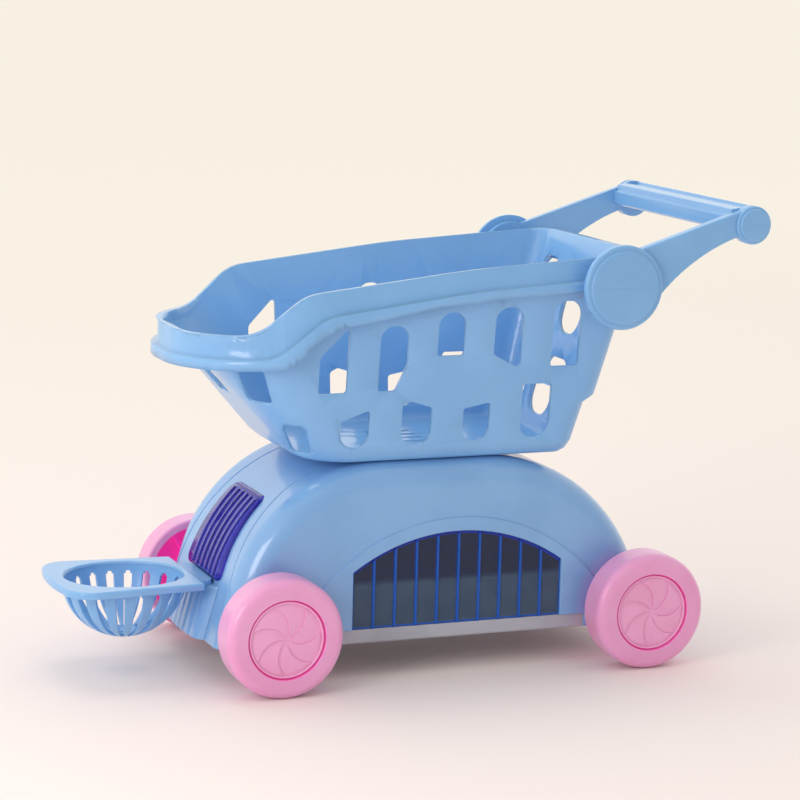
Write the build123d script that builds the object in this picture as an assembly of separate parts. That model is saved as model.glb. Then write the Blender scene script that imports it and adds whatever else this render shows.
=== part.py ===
from build123d import *
import math
import os

os.makedirs("parts", exist_ok=True)

# A toy shopping cart on a car-shaped chassis. X runs from the nose to the handle,
# Y across, Z up from the floor. Lengths are in mm and angles in degrees. While the
# pieces are made, x = 0 is the front axle; export moves the middle of the overall
# length to x = 0.

# Wheels and axles
wheelbase = 184.0
wheel_gap = 8.3
wheel_radius = 28.0
wheel_width = 17.2
tread_round = 4.5
tread_wall = 4.0
wheel_web = 2.6
wheel_boss_radius = 6.0
wheel_rib_count = 6
wheel_rib = 1.6
axle_radius = 2.0
axle_clearance = 0.06
cap_radius = 17.9
cap_gap = 0.7
cap_seat_depth = 3.6
cap_sunk = 0.9
cap_blade_count = 7
cap_blade = 0.9
cap_blade_proud = 0.45
axle_grip = 1.5

# Car body
body_width = 100.0
body_wall = 2.2
body_top_z = 101.5
body_foot_z = 17.0
body_edge_round = 12.0
nose_arc_radius = 76.0
nose_arc_x = 58.0
nose_tangent = 16.0
tail_arc_radius = 87.0
tail_overhang = 11.0
seam_top_half = 25.5
seam_foot_half = 43.0
seam_groove = 0.8
seam_groove_depth = 0.6
axle_boss_radius = 5.5
axle_boss_gap = 0.7

# Side windows and the raised arch round them
window_front_gap = 12.5
window_rear_gap = 37.0
window_foot_z = 23.6
window_shoulder_z = 51.0
window_top_z = 68.0
window_thickness = 1.8
window_flange = 2.2
window_flange_thickness = 1.2
window_rib_count = 9
window_rib = 1.2
window_rib_proud = 0.7
arch_proud = 0.9
arch_border = 6.5
arch_foot_reach = 31.0

# Windscreen
screen_top_z = 82.4
screen_top_half = 20.0
screen_foot_z = 44.2
screen_foot_half = 25.0
screen_corner = 4.0
screen_proud = 1.0
screen_thickness = 2.0
screen_rib_count = 6
screen_rib = 1.6
screen_rib_proud = 0.6

# Bumper
bumper_half = 26.0
bumper_foot_x = -28.5
bumper_top_x = -21.7
bumper_top_z = 41.9
bumper_shelf = 4.0
bumper_corner = 8.0
bumper_bow = 2.5
flute_count = 5
flute_radius = 6.0
flute_depth = 0.3

# Base tray and its screws
base_foot_z = 16.6
base_thickness = 2.0
base_side_z = 23.4
base_side_front_gap = 3.0
base_side_rear_gap = 4.0
base_fit = 0.15
post_radius = 4.0
post_inset_y = 7.0
post_from_axle = 13.0
centre_post_from_axle = 34.0
screw_radius = 1.3
screw_head_radius = 2.9
screw_head = 1.0
screw_sunk = 1.2
screw_clearance = 0.05
shank_clearance = 0.2
screw_bite = 9.0

# Large basket
basket_wall = 2.2
basket_front_x = 19.0
basket_foot_half = 46.9
basket_front_slope = 0.883
basket_side_slope = 0.11
basket_rear_slope = 0.274
basket_upper_slope = 0.259
basket_foot_length = 133.8
ledge_height = 24.5
ledge_rise = 3.5
ledge_step = 4.4
basket_foot_round = 6.0
front_corner_foot = 24.0
front_corner_rim = 49.0
rear_corner = 10.0

# Rim of the large basket
rim_front_height = 62.2
rim_front_slope = 0.05
rim_step_front_x = -9.3
rim_step_rear_x = 13.1
rim_rear_height = 80.75
rim_mid_x = 95.0
rim_mid_height = 90.8
rim_end_height = 97.3
rim_step_round_low = 20.0
rim_step_round_high = 24.0
rim_mid_round = 500.0
rim_half = 57.5
rim_front_x = -36.0
rim_rear_overhang = 2.0
rim_wall = 2.2
rim_band = 10.2
rim_band_setback = 8.0
rim_lip = 4.8
rim_lip_setback = 5.0
rim_lip_proud = 3.2

# Openings in the large basket
hole_corner = 1.6
foot_slot_count = 5
foot_slot = 3.0
foot_slot_length = 24.0
foot_slot_x = 82.0
foot_slot_pitch = 9.0
front_slot_angle = 41.0
front_slot_width = 14.0
front_slot_top = 46.0
front_slot_foot = 29.0
low_slot_width = 12.0
low_slot_top = 18.5
low_slot_foot = 4.5
front_slot_round = 2.5
rear_hole_width = 23.0
rear_side_hole_width = 18.0
rear_high_pitch = 36.0
rear_high_foot = 50.5
rear_high_top = 84.5
rear_mid_pitch = 30.0
rear_mid_foot = 29.5
rear_mid_top = 38.5
rear_low_pitch = 28.5
rear_low_foot = 11.0
rear_low_top = 25.5

# Feet that screw the basket to the body
foot_radius = 4.0
foot_fit = 0.1
foot_from_edge = 9.0
foot_half_pitch = 16.0
foot_head_radius = 6.0
foot_skin = 0.8

# Handle
pivot_from_rear = 12.6
pivot_height = 82.0
arm_length = 73.5
arm_rise = 22.4
arm_gap = 0.6
arm_thickness = 4.4
arm_hub_radius = 17.0
pin_radius = 3.0
pin_clearance = 0.06
pin_head_radius = 5.5
pin_head = 1.5
pin_head_gap = 0.3
pin_boss_radius = 9.0
pin_skin = 1.0
disc_radius = 20.0
disc_face_radius = 17.4
disc_thickness = 4.0
disc_step = 1.0
disc_recess_radius = 7.5
disc_recess = 2.4
grip_boss_radius = 9.2
grip_face_radius = 7.8
grip_cap_thickness = 2.6
grip_cap_step = 1.4
grip_spigot_radius = 4.0
grip_spigot = 3.0
grip_rib_count = 5
grip_rib = 1.8

# Small front basket
small_rear_x = -24.0
small_rear_half = 29.0
small_front_x = -86.0
small_front_half = 34.0
small_tip_x = -91.0
small_corner = 13.0
small_plate = 3.3
small_bowl_x = -55.0
small_bowl_length = 28.4
small_bowl_half = 25.3
small_bowl_depth = 29.6
small_wall = 1.6
small_mouth_round = 1.2
small_slot_count = 18
small_slot_inner = 8.0
small_slot_narrow = 1.4
small_slot_wide = 4.7
small_slot_top = 4.6
small_slot_end = 1.2
tongue_half = 19.5
tongue_rear_x = -16.6
tongue_thickness = 2.1
tongue_round = 6.0
tongue_overlap = 2.0
peg_x = -19.2
peg_half_pitch = 12.0
peg_radius = 1.2
peg_length = 3.0
peg_clearance = 0.05

# Sizes worked out from the ones above
body_half = body_width / 2
wheel_inner_y = body_half + wheel_gap
wheel_outer_y = wheel_inner_y + wheel_width
axle_z = wheel_radius
nose_arc_z = body_top_z - nose_arc_radius
tail_arc_x = wheelbase + tail_overhang - tail_arc_radius
tail_arc_z = body_top_z - tail_arc_radius
window_front_x = wheel_radius + window_front_gap
window_rear_x = wheelbase - window_rear_gap
window_middle_x = (window_front_x + window_rear_x) / 2
base_front_x = wheel_radius - base_side_front_gap
base_rear_x = wheelbase - wheel_radius + base_side_rear_gap
basket_foot_z = body_top_z
basket_rear_x = basket_front_x + basket_foot_length
basket_top_z = basket_foot_z + 2 * rim_end_height - rim_mid_height
basket_rise = basket_top_z - basket_foot_z
pivot_z = basket_foot_z + pivot_height
ledge_x = basket_rear_x + basket_rear_slope * ledge_height
step_x = ledge_x + ledge_step + basket_upper_slope * ledge_rise
step_height = ledge_height + ledge_rise
pivot_wall_x = step_x + basket_upper_slope * (pivot_height - step_height)
pivot_x = pivot_wall_x - pivot_from_rear
grip_x = pivot_x + arm_length * math.cos(math.radians(arm_rise))
grip_z = pivot_z + arm_length * math.sin(math.radians(arm_rise))
arm_inner_y = rim_half + rim_lip_proud + arm_gap
arm_outer_y = arm_inner_y + arm_thickness
grip_cap_y = arm_outer_y - grip_spigot
pin_foot_y = basket_foot_half + basket_side_slope * pivot_height - basket_wall + pin_skin
small_top_z = bumper_top_z + small_plate
middle_x = (small_tip_x + grip_x + grip_boss_radius) / 2
far = 400.0

nodes = {}


def across(outline, half):
    """An outline in XZ, thickened to both sides of the middle plane."""
    return extrude(Plane.XZ * outline, amount=half, both=True)


def slab(outline, y_low, y_high):
    """An outline in XZ, thickened from y_low to y_high."""
    return extrude(Plane.XZ.offset(-y_high) * outline, amount=y_high - y_low)


def rod(x, z, radius, y_low, y_high):
    """A round bar along Y."""
    bar = Cylinder(radius, y_high - y_low)
    return Pos(x, (y_low + y_high) / 2, z) * Rot(90, 0, 0) * bar


def post(x, y, radius, z_low, z_high):
    """A round bar along Z."""
    return Pos(x, y, (z_low + z_high) / 2) * Cylinder(radius, z_high - z_low)


def block(x_low, x_high, y_low, y_high, z_low, z_high):
    """A box given by its limits."""
    box = Box(x_high - x_low, y_high - y_low, z_high - z_low)
    return Pos((x_low + x_high) / 2, (y_low + y_high) / 2, (z_low + z_high) / 2) * box


def both_sides(shape):
    """The piece and its mirror image across the middle plane."""
    return [shape, mirror(shape, about=Plane.XZ)]


def together(pieces):
    """Separate pieces that share one node."""
    group = pieces[0]
    for piece in pieces[1:]:
        group += piece
    return group


def keep(name, shape):
    """Stores a finished piece under its node name."""
    nodes[name] = shape


# ---------------------------------------------------------------- wheels

def wheel_solid():
    """The wheel at y > 0: a web and a deep tread, open towards the car."""
    face_y = wheel_outer_y
    seat_y = face_y - cap_seat_depth
    web_y = seat_y - wheel_web
    seat_radius = cap_radius + cap_gap
    cup_radius = wheel_radius - tread_wall
    edge_y = face_y - tread_round
    bend = tread_round * math.sqrt(0.5)
    shoulder = (wheel_radius - tread_round + bend, edge_y + bend)
    outline = [
        Line((axle_radius, seat_y), (seat_radius, seat_y)),
        Line((seat_radius, seat_y), (seat_radius, face_y)),
        Line((seat_radius, face_y), (wheel_radius - tread_round, face_y)),
        ThreePointArc((wheel_radius - tread_round, face_y), shoulder, (wheel_radius, edge_y)),
        Line((wheel_radius, edge_y), (wheel_radius, wheel_inner_y)),
        Line((wheel_radius, wheel_inner_y), (cup_radius, wheel_inner_y)),
        Line((cup_radius, wheel_inner_y), (cup_radius, web_y)),
        Line((cup_radius, web_y), (wheel_boss_radius, web_y)),
        Line((wheel_boss_radius, web_y), (wheel_boss_radius, wheel_inner_y)),
        Line((wheel_boss_radius, wheel_inner_y), (axle_radius, wheel_inner_y)),
        Line((axle_radius, wheel_inner_y), (axle_radius, seat_y)),
    ]
    wheel = revolve(make_face(outline), Axis.Y)
    rib_reach = cup_radius - wheel_boss_radius + tread_wall / 2
    rib_y = (web_y + wheel_inner_y) / 2
    for index in range(wheel_rib_count):
        turn = index * 360 / wheel_rib_count
        arm = block(wheel_boss_radius - 1, wheel_boss_radius - 1 + rib_reach,
                    rib_y, web_y + 1, -wheel_rib / 2, wheel_rib / 2)
        wheel += Rot(0, turn, 0) * arm
    outer_edges = wheel.edges().filter_by(GeomType.CIRCLE)
    inner_rim = outer_edges.filter_by(lambda edge: edge.radius > wheel_radius - 0.1
                                      and abs(edge.center().Y - wheel_inner_y) < 0.1)
    wheel = fillet(inner_rim, tread_wall / 3)
    return Pos(0, 0, axle_z) * wheel


def blade_outline():
    """One curved vane of the cap, from near the middle to near the edge."""
    ring_radius = cap_radius * 0.62
    ring = Circle(ring_radius + cap_blade / 2) - Circle(ring_radius - cap_blade / 2)
    ring = Pos(ring_radius, 0) * ring
    half_plane = Pos(0, cap_radius) * Rectangle(4 * cap_radius, 2 * cap_radius)
    vane = ring & half_plane
    return vane & (Circle(cap_radius - 1.5) - Circle(2.2))


def cap_solid():
    """The cap at y > 0: a disc with swirling vanes and a socket for the axle end."""
    seat_y = wheel_outer_y - cap_seat_depth
    face_y = wheel_outer_y - cap_sunk
    disc = rod(0, 0, cap_radius, seat_y, face_y)
    disc = fillet(disc.edges().group_by(Axis.Y)[-1], 0.6)
    disc -= rod(0, 0, axle_radius, seat_y - 1, seat_y + axle_grip)
    vane = slab(blade_outline(), face_y - 0.2, face_y + cap_blade_proud)
    for index in range(cap_blade_count):
        disc += Rot(0, index * 360 / cap_blade_count, 0) * vane
    return Pos(0, 0, axle_z) * disc


def make_wheel_sets():
    """Two axles, each with a wheel and a cap pressed on at both ends."""
    wheel = both_sides(wheel_solid())
    cap = both_sides(cap_solid())
    axle_half = wheel_outer_y - cap_seat_depth + axle_grip
    for place, x in (("front", 0.0), ("rear", wheelbase)):
        for side, pick in (("right", 0), ("left", 1)):
            keep(f"{place}_{side}_wheel", Pos(x, 0, 0) * wheel[pick])
            keep(f"{place}_{side}_hub_cap", Pos(x, 0, 0) * cap[pick])
        keep(f"{place}_axle", rod(x, axle_z, axle_radius, -axle_half, axle_half))


# ---------------------------------------------------------------- car body

def body_outline(inset, foot_z):
    """Side view of the car body: nose line, nose arc, flat top and tail arc."""
    nose_radius = nose_arc_radius - inset
    tail_radius = tail_arc_radius - inset
    top_z = body_top_z - inset
    angle = math.radians(nose_tangent)
    bend_x = nose_arc_x - nose_radius * math.cos(angle)
    bend_z = nose_arc_z + nose_radius * math.sin(angle)
    foot_x = bend_x - (bend_z - foot_z) * math.tan(angle)
    middle = math.radians((nose_tangent + 90) / 2)
    nose_middle = (nose_arc_x - nose_radius * math.cos(middle), nose_arc_z + nose_radius * math.sin(middle))
    tail_foot_x = tail_arc_x + tail_radius
    tail_middle = (tail_arc_x + tail_radius * math.sqrt(0.5), tail_arc_z + tail_radius * math.sqrt(0.5))
    return make_face([
        Line((foot_x, foot_z), (bend_x, bend_z)),
        ThreePointArc((bend_x, bend_z), nose_middle, (nose_arc_x, top_z)),
        Line((nose_arc_x, top_z), (tail_arc_x, top_z)),
        ThreePointArc((tail_arc_x, top_z), tail_middle, (tail_foot_x, tail_arc_z)),
        Line((tail_foot_x, tail_arc_z), (tail_foot_x, foot_z - 30)),
        Line((tail_foot_x, foot_z - 30), (foot_x, foot_z - 30)),
        Line((foot_x, foot_z - 30), (foot_x, foot_z)),
    ])


def body_block(inset):
    """The solid shape of the car body, with its long side edges rounded."""
    half = body_half - inset
    solid = across(body_outline(inset, body_foot_z), half)
    edges = solid.edges().filter_by(lambda edge: abs(abs(edge.center().Y) - half) < 0.01)
    upper = edges.filter_by(lambda edge: edge.center().Z > body_foot_z - 20)
    return fillet(upper, body_edge_round - inset)


def below(z):
    """Everything under a height."""
    return block(-far, far, -far, far, z - far, z)


def seam_wedge(grow):
    """The space between the two seams, wider at the foot than at the top."""
    drop = (seam_foot_half - seam_top_half) / (body_top_z - body_foot_z)
    high_z = body_top_z + 20
    low_z = body_foot_z - 20
    high = seam_top_half - drop * 20 + grow
    low = seam_foot_half + drop * 20 + grow
    outline = Polyline((-low, low_z), (low, low_z), (high, high_z), (-high, high_z), close=True)
    return extrude(Plane.YZ * make_face(outline), amount=far, both=True)


def arc_outline(front, rear, foot_z, shoulder_z, top_z):
    """An upright-ended outline whose top is one arc."""
    middle = ((front + rear) / 2, top_z)
    return make_face([
        Line((front, foot_z), (front, shoulder_z)),
        ThreePointArc((front, shoulder_z), middle, (rear, shoulder_z)),
        Line((rear, shoulder_z), (rear, foot_z)),
        Line((rear, foot_z), (front, foot_z)),
    ])


def window_outline(grow):
    """The side window: upright ends, arched top, foot on the base tray."""
    return arc_outline(window_front_x - grow, window_rear_x + grow, window_foot_z,
                       window_shoulder_z + grow, window_top_z + grow)


def screen_outline(grow):
    """The windscreen seen from the front."""
    foot = screen_foot_half + grow
    top = screen_top_half + grow
    foot_z = screen_foot_z - grow
    top_z = screen_top_z + grow
    path = FilletPolyline((-foot, foot_z), (foot, foot_z), (top, top_z), (-top, top_z),
                          radius=screen_corner, close=True)
    return make_face(path)


def screen_prism(grow):
    """The windscreen's outline, run back from the nose to the middle of the nose arc."""
    return extrude(Plane.YZ.offset(-far) * screen_outline(grow), amount=far + nose_arc_x)


def nose_layer(low, high):
    """A curved layer along the nose, between two distances out of the body's face."""
    outer = Circle(nose_arc_radius + high)
    inner = Circle(nose_arc_radius + low)
    return across(Pos(nose_arc_x, nose_arc_z) * (outer - inner), body_half)


def screw(x, y, z, length):
    """A screw whose head is at z and whose shank points up."""
    head = post(x, y, screw_head_radius, z - screw_head, z)
    return head + post(x, y, screw_radius, z - screw_head / 2, z + length)


def post_places():
    """Where the base tray is screwed to the body: x, y and the piece that it bites."""
    side_y = body_half - body_wall - post_inset_y
    places = []
    for x in (post_from_axle, wheelbase - post_from_axle):
        places.append((x, side_y, "right"))
        places.append((x, -side_y, "left"))
    places.append((centre_post_from_axle, 0.0, "middle"))
    places.append((wheelbase - centre_post_from_axle, 0.0, "middle"))
    return places


def screw_posts(piece):
    """The screw posts that hang from one piece of the body down to the base tray."""
    inside = body_block(body_wall / 2)
    found = []
    for x, y, owner in post_places():
        if owner == piece:
            column = post(x, y, post_radius, base_foot_z + base_thickness, body_top_z)
            column = column & inside
            column -= post(x, y, screw_radius + screw_clearance, 0, base_foot_z + screw_sunk + screw_bite + 1)
            found.append(column)
    return found


def basket_foot_places():
    """Where the basket's feet go through the flat top of the body."""
    front = nose_arc_x + foot_from_edge
    rear = tail_arc_x - foot_from_edge
    return [(x, y) for x in (front, rear) for y in (-foot_half_pitch, foot_half_pitch)]


def side_shell(shell):
    """The side shell at y > 0, with its raised arch, window opening and axle bosses."""
    panel_front = window_front_x - arch_foot_reach
    panel_rear = window_rear_x + arch_foot_reach
    panel = arc_outline(panel_front, panel_rear, body_foot_z, body_foot_z + 2,
                        window_top_z + arch_border)
    piece = shell - seam_wedge(0)
    piece = piece - block(-far, far, -far, 0, -far, far)
    piece += slab(panel, body_half - body_wall, body_half + arch_proud)
    for column in screw_posts("right"):
        piece += column
    for x in (0, wheelbase):
        piece += rod(x, axle_z, axle_boss_radius, body_half - body_wall - 4, wheel_inner_y - axle_boss_gap)
        piece -= rod(x, axle_z, axle_radius + axle_clearance, 0, far)
    piece -= slab(window_outline(0), 0, far)
    piece -= block(window_front_x, window_rear_x, body_half - 5, far, 0, window_foot_z + 1)
    return piece - block(base_front_x, base_rear_x, 0, far, -far, base_side_z)


def centre_cover(shell):
    """The middle band of the body, from the nose over the top to the tail."""
    piece = shell & seam_wedge(0)
    for column in screw_posts("middle"):
        piece += column
    piece -= screen_prism(0) & nose_layer(-2 * body_wall, screen_proud + 1)
    for x, y in basket_foot_places():
        piece -= post(x, y, foot_radius + foot_fit, body_top_z - 10, body_top_z + 10)
    return piece


def make_body():
    """The two side shells and the band between them, with a groove at each seam."""
    outer = body_block(0)
    shell = outer - body_block(body_wall) - below(body_foot_z)
    groove = outer - body_block(seam_groove_depth)
    groove = groove & (seam_wedge(seam_groove / 2) - seam_wedge(-seam_groove / 2))
    shell -= groove
    right = side_shell(shell)
    keep("right_side_shell", right)
    keep("left_side_shell", mirror(right, about=Plane.XZ))
    keep("centre_cover", centre_cover(shell))


def make_side_windows():
    """Two clear panels with upright ribs, held by a flange behind the shell."""
    inner_y = body_half - body_wall
    panel = slab(window_outline(0), inner_y, inner_y + window_thickness)
    flange = slab(window_outline(window_flange), inner_y - window_flange_thickness, inner_y)
    panel += flange & block(-far, far, 0, far, base_side_z + 0.2, far)
    span = window_rear_x - window_front_x
    pitch = span / (window_rib_count + 1)
    for index in range(window_rib_count):
        x = window_front_x + pitch * (index + 1)
        rib = block(x - window_rib / 2, x + window_rib / 2, inner_y, inner_y + window_thickness + window_rib_proud,
                    window_foot_z, window_top_z)
        panel += rib & slab(window_outline(0), 0, far)
    keep("right_window", panel)
    keep("left_window", mirror(panel, about=Plane.XZ))


def make_windscreen():
    """A curved clear panel with lengthwise ribs."""
    prism = screen_prism(0)
    panel = prism & nose_layer(screen_proud - screen_thickness - body_wall / 2, screen_proud)
    panel = panel & block(-far, nose_arc_x - nose_arc_radius / 2, -far, far, 0, far)
    pitch = 2 * screen_top_half / (screen_rib_count + 0.5)
    first = -pitch * (screen_rib_count - 1) / 2
    for index in range(screen_rib_count):
        y = first + pitch * index
        rib = nose_layer(screen_proud - 0.3, screen_proud + screen_rib_proud)
        rib = rib & block(-far, nose_arc_x - nose_arc_radius / 2, y - screen_rib / 2, y + screen_rib / 2, 0, far)
        panel += rib & screen_prism(-1.5)
    keep("windscreen", panel)


def bumper_outline(front, inset):
    """Plan of the bumper, bowed across its front, from the nose forward."""
    half = bumper_half - inset
    edge = front + inset + bumper_bow
    outline = make_face([
        Line((0, half), (edge, half)),
        ThreePointArc((edge, half), (front + inset, 0), (edge, -half)),
        Line((edge, -half), (0, -half)),
        Line((0, -half), (0, half)),
    ])
    return fillet(outline.vertices().sort_by(Axis.X)[:2], bumper_corner - inset)


def bumper_block(inset):
    """The bumper's block, leaning back with the nose up to its shelf."""
    foot = Pos(0, 0, body_foot_z) * bumper_outline(bumper_foot_x, inset)
    top = Pos(0, 0, bumper_top_z) * bumper_outline(bumper_top_x, inset)
    return loft([foot, top], ruled=True)


def make_bumper():
    """A hollow bumper with flutes up its front and a flat shelf for the small basket."""
    bumper = bumper_block(0) - body_block(0)
    height = bumper_top_z - body_foot_z
    lean = math.degrees(math.atan((bumper_top_x - bumper_foot_x) / height))
    middle = (bumper_foot_x + bumper_top_x) / 2
    pitch = 2 * (bumper_half - bumper_corner) / flute_count
    for index in range(flute_count):
        y = pitch * (index - (flute_count - 1) / 2)
        face = middle + bumper_bow * (y / bumper_half) ** 2 + flute_depth
        flute = Rot(0, lean, 0) * Cylinder(flute_radius, 2 * height)
        bumper -= Pos(face - flute_radius, y, body_foot_z + height / 2) * flute
    hollow = bumper_block(body_wall) & block(-far, far, -far, far, 0, bumper_top_z - bumper_shelf)
    bumper -= hollow + Pos(0, 0, -body_wall) * hollow
    for side in (-1, 1):
        bumper -= post(peg_x, side * peg_half_pitch, peg_radius + peg_clearance, bumper_top_z - peg_length - 0.2,
                       bumper_top_z + 1)
    keep("front_bumper", bumper)


def make_base():
    """The base tray that closes the body, with a visible side between the wheels."""
    half = body_half - body_wall - base_fit
    angle = math.radians(nose_tangent)
    bend_x = nose_arc_x - nose_arc_radius * math.cos(angle)
    bend_z = nose_arc_z + nose_arc_radius * math.sin(angle)
    front = bend_x - (bend_z - base_foot_z) * math.tan(angle) + body_wall / math.cos(angle) + 2 * base_fit + 0.6
    rear = tail_arc_x + tail_arc_radius - body_wall - 2 * base_fit
    plate = block(front, rear, -half, half, base_foot_z, base_foot_z + base_thickness)
    plate = fillet(plate.edges().filter_by(Axis.Z), body_edge_round - body_wall + 2)
    side = block(base_front_x, base_rear_x, -body_half, body_half, base_foot_z, base_side_z)
    side = fillet(side.edges().filter_by(Axis.X).group_by(Axis.Z)[0], 1.2)
    side -= block(-far, far, -half, half, base_foot_z + base_thickness, far)
    tray = plate + side
    for x, y, owner in post_places():
        tray -= post(x, y, screw_radius + shank_clearance, 0, far)
        tray -= post(x, y, screw_head_radius + shank_clearance, 0, base_foot_z + screw_sunk)
    keep("base_tray", tray)
    keep("base_screws", together([screw(x, y, base_foot_z + screw_sunk, screw_bite) for x, y, owner in post_places()]))


# ---------------------------------------------------------------- large basket

def oblong(front, rear, half, front_round, rear_round):
    """A plan outline with large front corners and small rear ones."""
    outline = make_face(Polyline((front, -half), (rear, -half), (rear, half), (front, half), close=True))
    outline = fillet(outline.vertices().sort_by(Axis.X)[:2], front_round)
    return fillet(outline.vertices().sort_by(Axis.X)[-2:], rear_round)


def rear_wall_x(height):
    """The rear wall's outer face, which steps out at a ledge."""
    if height < step_height:
        return basket_rear_x + basket_rear_slope * height
    return step_x + basket_upper_slope * (height - step_height)


def tub_section(height, inset):
    """Plan of the tub at a height over its foot, set in from its outer face."""
    front = basket_front_x - basket_front_slope * height
    half = basket_foot_half + basket_side_slope * height
    corner = front_corner_foot + (front_corner_rim - front_corner_foot) * height / basket_rise
    outline = oblong(front + inset, rear_wall_x(height) - inset, half - inset, corner - inset, rear_corner - inset)
    return Pos(0, 0, basket_foot_z + height) * outline


def tub(inset):
    """The tapering tub with a rounded foot and a ledge in its rear wall."""
    bend = basket_foot_round - inset
    sections = []
    for angle in (0, 25, 50, 90):
        turn = math.radians(angle)
        sections.append(tub_section(inset + bend * (1 - math.cos(turn)), inset + bend * (1 - math.sin(turn))))
    for height in (ledge_height, step_height, basket_rise):
        sections.append(tub_section(height, inset))
    return loft(sections, ruled=True)


def under_rim(drop, setback):
    """Everything lower than the rim's line, dropped and set back towards the handle."""
    foot = basket_foot_z - drop
    points = [
        (-far, basket_foot_z - 50),
        (-far, foot + rim_front_height - rim_front_slope * (far + rim_step_front_x)),
        (rim_step_front_x + setback, foot + rim_front_height),
        (rim_step_rear_x + setback, foot + rim_rear_height),
        (rim_mid_x, foot + rim_mid_height),
        (far, foot + rim_mid_height + (rim_end_height - rim_mid_height) * (far - rim_mid_x) / rim_mid_x),
        (far, basket_foot_z - 50),
    ]
    rounds = [1.0, 1.0, rim_step_round_low, rim_step_round_high, rim_mid_round, 1.0, 1.0]
    return across(make_face(FilletPolyline(*points, radius=rounds, close=True)), far)


def rim_block(grow):
    """The upright-sided block whose outside is the rim's skirt."""
    rear = step_x + basket_upper_slope * (rim_end_height - step_height) + rim_rear_overhang
    outline = oblong(rim_front_x - grow, rear + grow, rim_half + grow, front_corner_rim + 3 + grow, rear_corner + 2 + grow)
    return extrude(Pos(0, 0, basket_foot_z) * outline, amount=basket_rise)


def side_holes():
    """Openings through both side walls: x, height over the foot and corner radius."""
    r = hole_corner
    upper = [
        [(21.3, 34.2, r), (35.5, 34.2, r), (35.5, 66, r), (21.3, 51.4, 4)],
        [(50.4, 34.4, r), (59.3, 34.4, r), (64.6, 46.4, 3), (64.6, 65.3, 6.5), (50.4, 65.3, 6.5)],
        [(78.9, 50.2, r), (92.6, 50.2, r), (92.6, 70.9, 6.5), (78.9, 70.9, 6.5)],
        [(107.4, 50.2, r), (119.8, 43.5, r), (121.9, 45.4, r), (121.9, 72.5, 6.5), (107.4, 72.5, 6.5)],
        [(137, 43.3, r), (151.5, 43.3, r), (151.5, 74.7, 6.5), (137, 74.7, 6.5)],
    ]
    lower = [
        [(33.4, 8.2, 6.5), (47.6, 8.2, 6.5), (47.6, 26, r), (33.4, 20.7, r)],
        [(63.4, 8.2, 6.5), (78.6, 8.2, 6.5), (78.6, 25.7, 2), (67.4, 29.2, 2), (63.4, 27.2, 2)],
        [(94.2, 8.8, 6.5), (108, 8.8, 6.5), (108, 27.2, r), (94.2, 24.6, r)],
        [(123.8, 9, 6.5), (138.9, 9, 6.5), (138.9, 35.2, r), (123.8, 35.2, r)],
    ]
    return upper + lower


def upright(y, width, foot, top, foot_round, top_round):
    """The corners of an upright opening centred on y."""
    low = y - width / 2
    high = y + width / 2
    return [(low, foot, foot_round), (high, foot, foot_round), (high, top, top_round), (low, top, top_round)]


def rear_holes():
    """Openings through the rear wall: y, height over the foot and corner radius."""
    rows = [
        (rear_high_pitch, rear_high_foot, rear_high_top, rear_side_hole_width / 2 - 0.5, rear_side_hole_width / 3),
        (rear_mid_pitch, rear_mid_foot, rear_mid_top, hole_corner, rear_side_hole_width / 3),
        (rear_low_pitch, rear_low_foot, rear_low_top, rear_side_hole_width / 2 - 0.5, hole_corner),
    ]
    holes = []
    for pitch, foot, top, foot_round, top_round in rows:
        holes.append(upright(0, rear_hole_width, foot, top, foot_round, top_round))
        for side in (-1, 1):
            holes.append(upright(side * pitch, rear_side_hole_width, foot, top, foot_round, top_round))
    return holes


def opening(corners):
    """A closed outline with a radius at each corner, heights taken from the basket's foot."""
    points = [(place, basket_foot_z + height) for place, height, radius in corners]
    return make_face(FilletPolyline(*points, radius=[radius for place, height, radius in corners], close=True))


def front_slot(angle, width, foot, top):
    """A slot through the rounded front, cut square to the corner's arc at this angle."""
    height = (top + foot) / 2
    front = basket_front_x - basket_front_slope * height
    corner = front_corner_foot + (front_corner_rim - front_corner_foot) * height / basket_rise
    straight = basket_foot_half + basket_side_slope * height - corner
    turn = math.radians(angle)
    side = (angle > 0) - (angle < 0)
    x = front + corner * (1 - math.cos(turn))
    y = side * straight + corner * math.sin(turn)
    half = (top - foot) / 2
    path = FilletPolyline((-width / 2, -half), (width / 2, -half), (width / 2, half), (-width / 2, half),
                          radius=front_slot_round, close=True)
    cutter = extrude(Plane.YZ * make_face(path), amount=foot_from_edge + half, both=True)
    return Pos(x, y, basket_foot_z + height) * Rot(0, 0, -angle) * cutter


def front_slots():
    """The slots in the front: three high ones and one low one at each corner."""
    cuts = []
    for angle in (-front_slot_angle, 0, front_slot_angle):
        cuts.append(front_slot(angle, front_slot_width, front_slot_foot, front_slot_top))
    for angle in (-front_slot_angle, front_slot_angle):
        cuts.append(front_slot(angle, low_slot_width, low_slot_foot, low_slot_top))
    return cuts


def foot_slots():
    """Long slots in the basket's floor, between its feet."""
    cuts = []
    for index in range(foot_slot_count):
        y = foot_slot_pitch * (index - (foot_slot_count - 1) / 2)
        cuts.append(Pos(foot_slot_x, y, basket_foot_z) * Box(foot_slot_length, foot_slot, 4 * basket_wall))
    return cuts


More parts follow.
